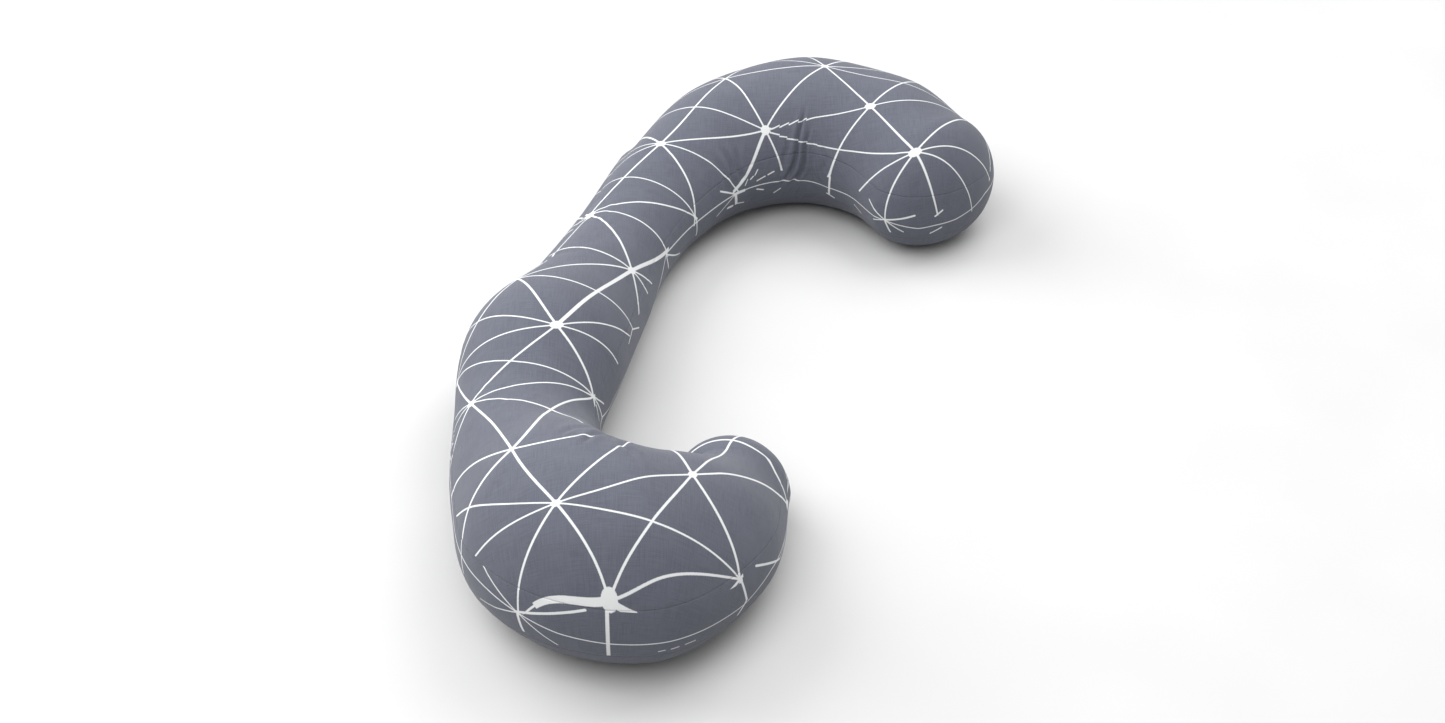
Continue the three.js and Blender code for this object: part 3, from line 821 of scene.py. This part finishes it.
CREASE_SHOULDER = 0.42   # height of the folds beside a crease, as a share of its depth


def crease_depth(cloth):
    """How far the creases pull the cloth in, at places on the laid-out cloth."""
    depth = np.zeros(len(cloth))
    for start, end, deep, wide in CREASES:
        start, end = np.array(start), np.array(end)
        along = end - start
        length = np.linalg.norm(along)
        rel = cloth - start
        share = rel @ along / length ** 2
        side = (rel[:, 0] * along[1] - rel[:, 1] * along[0]) / length
        side = side + CREASE_WANDER * np.sin(share * 9 + start[0] * 80)
        taper = smooth(-0.05, 0.30, share) * (1 - smooth(0.80, 1.15, share))
        shoulder = np.exp(-((np.abs(side) - 2.1 * wide) / (1.3 * wide)) ** 2)
        fold = np.exp(-(side / wide) ** 2) - CREASE_SHOULDER * shoulder
        depth += deep * taper * fold
    return depth


def noise_at(points, scale, seed):
    """Smooth noise from about -1 to 1 at each point, always the same for one seed."""
    shift = Vector((seed, 2 * seed, 3 * seed))
    return np.array([noise.noise(Vector(p) * scale + shift) for p in points.tolist()])


MOST_SUNK = 0.0048       # sunk this far, the cover still clears the casing
MOST_DRAWN_IN = 0.0025   # how far in the simulated swelling alone may move the cover
GROOVE_DEPTH = 0.0003
GROOVE_HALF = 0.0016
PUCKER_HEIGHT = 0.0005
PUCKER_REACH = 0.010


def kept_out(move, normals, most):
    """Moves that sink the cover no deeper than most."""
    sunk = np.minimum((move * normals).sum(1) + most, 0.0)
    return move - sunk[:, None] * normals


def settle(mesh, seam_arcs):
    """Gives a panel the simulated swelling, its creases, and a groove with small puckers at its seams."""
    points = read_points(mesh)
    normals = read_normals(mesh)
    place = read_points(mesh, "place")
    cloth = read_points(mesh, "cloth")[:, :2]
    # the cover stays as it is round the zip and on the floor
    along = np.abs((points - zip_middle) @ zip_along)
    at_zip = (1 - smooth(ZIP_REACH - 0.004, ZIP_REACH + 0.05, along)) * (np.abs(place[:, 1]) < 0.06)
    at_zip = at_zip * (((points - zip_middle) @ zip_inward) < 0.03)
    free = (1 - at_zip) * smooth(0.004, 0.035, points[:, 2])
    move = np.zeros_like(points)
    if field is not None:
        move += kept_out(field(points), normals, MOST_DRAWN_IN) * free[:, None]
    out = np.zeros(len(points))
    for seam in seam_arcs:
        off = place[:, 1] - seam
        pucker = noise_at(np.column_stack([place[:, 0], place[:, 1] * 0.3, 0 * off]), 95.0, 3.1)
        out -= GROOVE_DEPTH * np.exp(-(off / GROOVE_HALF) ** 2)
        out += PUCKER_HEIGHT * pucker * np.exp(-(off / PUCKER_REACH) ** 2)
    out += noise_at(points, 7.0, 1.7) * 0.0011 + noise_at(points, 21.0, 4.3) * 0.0004
    out -= crease_depth(cloth)
    move += normals * (out * free)[:, None]
    moved = points + kept_out(move, normals, MOST_SUNK)
    moved[:, 2] = np.maximum(moved[:, 2], np.minimum(points[:, 2], 0.0002))
    write_points(mesh, moved)


EASE = 8                 # meridians over which the print's turns at the caps are eased


def eased(lattice, cloth, ring):
    """Evens out the print's sharp turns where the caps begin."""
    shares = np.exp(-0.5 * (np.arange(-3 * EASE, 3 * EASE + 1) / EASE) ** 2)
    even = sum(w * np.roll(lattice, k, 1) for k, w in enumerate(shares / shares.sum(), -3 * EASE))
    reach = np.linalg.norm(cloth - ring.spine[None], axis=2) / ring.half
    return lattice + smooth(0.1, 0.8, reach)[..., None] * (even - lattice)


def panel(name, rows, seam_arcs, ring=fine):
    """One sewn panel of the cover, as a skin with the attributes that its print is worked out from."""
    made = [section(ring, row) for row in rows]
    grid = np.array([m[0] for m in made])
    arc = np.array([m[1] for m in made])
    cloth = np.array([m[2] for m in made])
    run = np.broadcast_to(ring.run, arc.shape)
    above = arc - print_cut(run)
    mesh = mesh_from_grid(name, grid, {
        "cloth": cloth,
        "lattice": eased(lattice_at(cloth), cloth, ring),
        "place": np.stack([run, arc, above], -1),
        "far": far_lattice(run, arc)})
    settle(mesh, seam_arcs)
    return mesh


def thickened(obj, thickness):
    """Gives a skin real thickness, inwards, with its rims closed."""
    solid = obj.modifiers.new("thickness", "SOLIDIFY")
    solid.thickness = thickness
    solid.offset = -1
    solid.use_even_offset = False
    solid.use_rim = True
    return apply_modifiers(obj)


def place_piece(obj, body, slot, *nodes):
    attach(obj, body)
    if nodes:
        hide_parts(*nodes)
    return obj


def add_piece(name, mesh, material, slot, *nodes, thick=0.0):
    """A piece on the pillow's body. A skin gets its thickness here; a closed mesh needs none."""
    obj = link(name, mesh)
    obj.data.materials.append(material)
    if thick:
        thickened(obj, thick)
    return place_piece(obj, "pillow", slot, *nodes)


cover_print = cover_fabric("cover_print")
band_print = cover_fabric("band_print", own_print=True)


def make_cover():
    for name, rows, seams, node in (("cover_top", TOP_ROWS, [BAND_ABOVE], "cover_top_panel"),
                                    ("cover_bottom", BOTTOM_ROWS, [-BAND_BELOW], "cover_bottom_panel")):
        obj = add_piece(name, panel(name, rows, seams), cover_print, "cover_fabric", node, thick=COVER_THICK)


SLOT_HALF = 0.0062
SLOT_END = 0.1575
SLOT_DEEP = 0.02         # faces farther inwards than this belong to the pillow's other side


def cut_slot(mesh):
    """Opens the band along the zip."""
    bm = bmesh.new()
    bm.from_mesh(mesh)

    def around():
        found = []
        for face in bm.faces:
            rel = np.array(face.calc_center_median()) - zip_middle
            if abs(rel @ zip_along) < SLOT_END + 0.02 and abs(rel[2]) < 0.03 and rel @ zip_inward < 0.03:
                found.append(face)
        return found + list({e for f in found for e in f.edges}) + list({v for f in found for v in f.verts})

    for sign in (1, -1):
        for point, normal in ((zip_middle + sign * SLOT_HALF * zip_up, zip_up),
                              (zip_middle + sign * SLOT_END * zip_along, zip_along)):
            bmesh.ops.bisect_plane(bm, geom=around(), dist=1e-6, plane_co=point, plane_no=normal)
    gone = []
    for face in bm.faces:
        rel = np.array(face.calc_center_median()) - zip_middle
        if abs(rel @ zip_along) < SLOT_END and abs(rel[2]) < SLOT_HALF and rel @ zip_inward < SLOT_DEEP:
            gone.append(face)
    bmesh.ops.delete(bm, geom=gone, context="FACES")
    bm.to_mesh(mesh)
    bm.free()
    mesh.shade_smooth()


def make_band():
    mesh = panel("cover_band", BAND_ROWS, [BAND_ABOVE, -BAND_BELOW])
    cut_slot(mesh)
    obj = add_piece("cover_band", mesh, band_print, "cover_fabric", "cover_side_band", thick=COVER_THICK)


make_cover()
make_band()

casing_cloth = plain_cloth("casing_cotton", linear(222, 217, 206), linear(240, 237, 229), 0.0006)
fill_fibre = plain_cloth("fill_fibre", linear(232, 230, 222), linear(250, 249, 245), 0.004, 0.95, 0.3)
tape_weave = plain_cloth("tape_weave", linear(100, 103, 114), linear(124, 127, 138), 0.0008)
label_satin = plain_cloth("label_satin", linear(232, 231, 226), linear(248, 247, 244), 0.0005, 0.55, 0.2)
thread_cotton = plain_cloth("thread_cotton", linear(104, 107, 118), linear(132, 135, 146), 0.0006)
coil_nylon = nylon("coil_nylon")
plated_zinc = metal("plated_zinc", (0.50, 0.51, 0.53, 1), (0.66, 0.67, 0.69, 1), 0.24)


# ---- inside: casing and filling ----

coarse = Ring(14, 40)
CASING_THICK = 0.0009
CROWN_ROWS = 14
INSIDE_TOP = [("arc", v) for v in (0.0002, 0.012, 0.024)]
INSIDE_TOP += [("crown", v / CROWN_ROWS) for v in range(CROWN_ROWS + 1)]
INSIDE_BOTTOM = [("flat", v) for v in (1.0, 0.7, 0.4, 0.15, 0.0)]
INSIDE_BOTTOM += [("belly", v) for v in (0.8, 0.6, 0.4, 0.2, 0.0)]
INSIDE_BOTTOM += [("arc", v) for v in (-0.036, -0.024, -0.012, -0.0002)]


def inside_mesh(name, rows, depth):
    grid = np.array([section(coarse, row, depth)[0] for row in rows])
    return mesh_from_grid(name, grid, {})


def make_inside():
    for name, rows, node in (("casing_top", INSIDE_TOP, "inner_casing_top"),
                             ("casing_bottom", INSIDE_BOTTOM, "inner_casing_bottom")):
        mesh = inside_mesh(name, rows, CASING_DEPTH)
        obj = add_piece(name, mesh, casing_cloth, "casing", node, thick=CASING_THICK)
    mesh = inside_mesh("filling_fibre", INSIDE_BOTTOM + INSIDE_TOP, FILLING_DEPTH)
    points, normals = read_points(mesh), read_normals(mesh)
    lumps = np.minimum(noise_at(points, 40.0, 5.5) * 0.004 + noise_at(points, 110.0, 8.5) * 0.002, 0.0)
    points += normals * (lumps * smooth(0.011, 0.03, points[:, 2]))[:, None]
    write_points(mesh, points)
    obj = add_piece("filling_fibre", mesh, fill_fibre, "filling", "filling")


make_inside()

# ---- zip ----

zip_frame = Matrix((
    (*zip_along[:2], 0.0), (0.0, 0.0, 1.0), (*zip_inward[:2], 0.0))).transposed().to_4x4()
zip_frame.translation = Vector(zip_middle)
TAPE_HALF = 0.159        # half the tapes' length
TAPE_NEAR = 0.002        # a tape's edges, from the zip's middle line
TAPE_FAR = 0.0145
TAPE_DEPTH = 0.0021
TAPE_THICK = 0.0005
CHAIN_HALF = 0.150       # half the coils' length
COIL_PITCH = 0.0015
COIL_MIDDLE = 0.0021     # a coil's middle, from the zip's middle line
COIL_DEPTH = 0.00085
COIL_WIDE = 0.00105
COIL_THICK = 0.00062
WIRE = 0.00027           # radius of the coils' wire


def tape_mesh(name, sign):
    """A woven tape with a thicker beaded edge by the coil, gently rippled."""
    along = np.linspace(-TAPE_HALF, TAPE_HALF, 160)
    across = np.array([0.0, 0.03, 0.08, 0.14, 0.3, 0.5, 0.7, 0.9, 1.0])
    x, w = np.meshgrid(along, across)
    y = sign * (TAPE_NEAR + (TAPE_FAR - TAPE_NEAR) * w)
    bead = 0.0002 * np.exp(-((w - 0.06) / 0.05) ** 2)
    z = TAPE_DEPTH + 0.00010 * np.sin(x * 210 + sign) * w - bead
    return mesh_from_grid(name, np.stack([x, y, z], -1), {}, closed=False, flip=sign > 0)


def coil_mesh(name, sign):
    """One side of the coil: a flattened helix of nylon wire."""
    per_turn, sides = 10, 5
    turns = int(2 * CHAIN_HALF / COIL_PITCH) - 1
    angle = np.arange(turns * per_turn + 1) * 2 * np.pi / per_turn
    x = -CHAIN_HALF + 0.0006 + angle / (2 * np.pi) * COIL_PITCH
    across = sign * (COIL_MIDDLE + COIL_WIDE * np.cos(angle))
    centre = np.stack([x, across, COIL_DEPTH + COIL_THICK * np.sin(angle)], -1)
    tangent = unit(np.gradient(centre, axis=0))
    side = unit(np.cross(tangent, [1.0, 0.0, 0.0]))
    up = np.cross(side, tangent)
    rings = []
    for k in range(sides):
        a = 2 * np.pi * k / sides
        rings.append(centre + WIRE * (math.cos(a) * side + math.sin(a) * up))
    mesh = mesh_from_grid(name, np.stack(rings, 1), {})
    bm = bmesh.new()
    bm.from_mesh(mesh)
    bmesh.ops.holes_fill(bm, edges=[e for e in bm.edges if e.is_boundary])
    bmesh.ops.recalc_face_normals(bm, faces=bm.faces)
    bm.to_mesh(mesh)
    bm.free()
    mesh.shade_smooth()
    return mesh


STITCH = 0.0026
STITCH_GAP = 0.0010
STITCH_DEPTH = -0.00022
STITCH_THREAD = 0.00028  # radius of the sewing thread
ROW_END = SLOT_END + 0.003
ROW_SIDE = 0.0095


def stitches_mesh(name):
    """Topstitching: a row along each side of the slot and one across each end."""
    bm = bmesh.new()
    lines = []
    for sign in (1, -1):
        lines.append(((-ROW_END, sign * ROW_SIDE), (ROW_END, sign * ROW_SIDE)))
        lines.append(((sign * ROW_END, -ROW_SIDE), (sign * ROW_END, ROW_SIDE)))
    for start, end in lines:
        start, end = Vector((*start, STITCH_DEPTH)), Vector((*end, STITCH_DEPTH))
        count = int((end - start).length / (STITCH + STITCH_GAP))
        heading = (end - start).normalized()
        turn = Vector((0, 0, 1)).rotation_difference(heading).to_matrix().to_4x4()
        for i in range(count):
            middle = start.lerp(end, (i + 0.5) / count)
            size = Matrix.Diagonal((STITCH_THREAD, STITCH_THREAD, STITCH / 2, 1))
            shape = Matrix.Translation(middle) @ turn @ size
            bmesh.ops.create_uvsphere(bm, u_segments=8, v_segments=6, radius=1.0, matrix=shape)
    mesh = bpy.data.meshes.new(name)
    bm.to_mesh(mesh)
    bm.free()
    mesh.shade_smooth()
    return mesh


# The zip's metal parts are the CAD's own, with their edges rounded off
ZIP_METAL = ("zip_slider", "zip_pull_tab", "zip_top_stop_upper", "zip_top_stop_lower", "zip_bottom_stop")
METAL_ROUND = 0.00018


def make_zip():
    for side, sign in (("upper", 1), ("lower", -1)):
        tape = tape_mesh(f"tape_{side}", sign)
        tape.transform(zip_frame)
        add_piece(f"tape_{side}", tape, tape_weave, "zip_tape", f"zip_tape_{side}", thick=TAPE_THICK)
        coil = coil_mesh(f"coil_{side}", sign)
        coil.transform(zip_frame)
        add_piece(f"coil_{side}", coil, coil_nylon, "zip_coil", f"zip_coil_{side}")
    stitches = stitches_mesh("zip_stitching")
    stitches.transform(zip_frame)
    add_piece("zip_stitching", stitches, thread_cotton, "cover_fabric")
    for node in ZIP_METAL:
        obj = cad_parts[node]
        obj.data.materials.clear()
        obj.data.materials.append(plated_zinc)
        round_off = obj.modifiers.new("round_off", "BEVEL")
        round_off.width = METAL_ROUND
        round_off.segments = 2
        round_off.limit_method = "ANGLE"


make_zip()

# ---- care label ----

LABEL_RIBS = (11.925, 12.075)    # the label's two sides, counted in ribs
LABEL_TOP = 0.0345               # its ends' heights above the widest line
LABEL_LOW = -0.012
LABEL_COLUMNS = 13
LABEL_THICK = 0.0004


def make_label():
    """A blank satin tab, sewn into the band's upper seam, hanging over the band behind the arch."""
    ribs = np.linspace(*LABEL_RIBS, LABEL_COLUMNS)
    outer = spline([rib[1] for rib in RIBS], ribs)
    inner = spline([rib[0] for rib in RIBS], ribs)
    half = np.linalg.norm(outer - inner, axis=1) / 2
    middle = (outer + inner) / 2
    outward = unit(outer - middle)
    rows = []
    for arc in np.linspace(LABEL_TOP, LABEL_LOW, 24):
        turn = arc / half
        share = np.cos(turn)[:, None]
        lift = 0.0012 + 0.0014 * smooth(0.02, LABEL_LOW, np.array([arc]))[0]
        plan = middle + (outer - middle) * share + outward * lift
        rise = np.where(turn > 0, CROWN, BELLY) * half * np.sin(turn)
        rows.append(np.column_stack([plan, SEAT * half + rise]))
    grid = np.array(rows)
    curl = 0.0006 * np.sin(np.linspace(0, np.pi, LABEL_COLUMNS))
    grid[:, :, :2] += (outward * curl[:, None])[None]
    mesh = mesh_from_grid("care_label_tab", grid, {}, closed=False)
    obj = add_piece("care_label_tab", mesh, label_satin, "label", "care_label", thick=LABEL_THICK)


make_label()

# ---- camera, floor and light ----

CAMERA_PLACE = (-0.0304, -2.2193, 1.6316)
CAMERA_TILT = 54         # degrees from straight down
FLOOR_RADIUS = 14
FLOOR_DROP = 0.0006      # keeps the floor clear of the pillow's underside
# Brightness of the world from the horizon to straight up
WORLD_LOW = 0.08
WORLD_HIGH = 1.25
# Lights: name, place, aim, size and power
LIGHTS = (
    ("key", (-2.5, 1.0, 1.9), (0, 0, 0), 3.0, 118),
    ("front", (-0.8, -2.0, 3.2), (0, -0.3, 0), 2.5, 65),
    ("right", (1.6, 1.4, 2.8), (0.25, 0.3, 0), 2.5, 62),
)


def make_stage():
    scene = bpy.context.scene
    scene.view_settings.view_transform = "Standard"
    camera = bpy.data.objects.new("camera", bpy.data.cameras.new("camera"))
    camera.data.lens = 50
    camera.data.sensor_width = 36
    camera.location = CAMERA_PLACE
    camera.rotation_euler = (math.radians(CAMERA_TILT), 0, 0)
    scene.collection.objects.link(camera)
    scene.camera = camera
    mesh = bpy.data.meshes.new("floor")
    bm = bmesh.new()
    bmesh.ops.create_circle(bm, cap_ends=True, segments=96, radius=FLOOR_RADIUS)
    bm.to_mesh(mesh)
    bm.free()
    floor = link("floor", mesh)
    floor.location.z = -FLOOR_DROP
    g = Graph("floor_paper")
    where = g.own_place()
    tone = g.ramp(g.noise(where, 3.0, 2.0), 0.3, 0.7, 0.0, 1.0)
    colour = g.mix(tone, (0.51, 0.51, 0.51, 1), (0.53, 0.53, 0.53, 1))
    floor.data.materials.append(g.finish(Base_Color=colour, Roughness=0.9))
    world = bpy.data.worlds.new("studio")
    world.use_nodes = True
    tree = world.node_tree
    sky = tree.nodes["Background"]
    where = tree.nodes.new("ShaderNodeTexCoord")
    height = tree.nodes.new("ShaderNodeSeparateXYZ")
    rise = tree.nodes.new("ShaderNodeMapRange")
    ray = tree.nodes.new("ShaderNodeLightPath")
    seen = tree.nodes.new("ShaderNodeMath")
    seen.operation = "MAXIMUM"
    strength = (("From Min", 0.0), ("From Max", 1.0), ("To Min", WORLD_LOW), ("To Max", WORLD_HIGH))
    for socket, value in strength:
        rise.inputs[socket].default_value = value
    tree.links.new(where.outputs["Generated"], height.inputs[0])
    tree.links.new(height.outputs["Z"], rise.inputs["Value"])
    tree.links.new(rise.outputs[0], seen.inputs[0])
    tree.links.new(ray.outputs["Is Camera Ray"], seen.inputs[1])
    tree.links.new(seen.outputs[0], sky.inputs["Strength"])
    sky.inputs["Color"].default_value = (1, 1, 1, 1)
    scene.world = world
    for name, place, aim, size, power in LIGHTS:
        light = bpy.data.objects.new(name, bpy.data.lights.new(name, "AREA"))
        light.data.size = size
        light.data.energy = power
        light.location = place
        light.rotation_euler = (Vector(aim) - Vector(place)).to_track_quat("-Z", "Y").to_euler()
        scene.collection.objects.link(light)


make_stage()
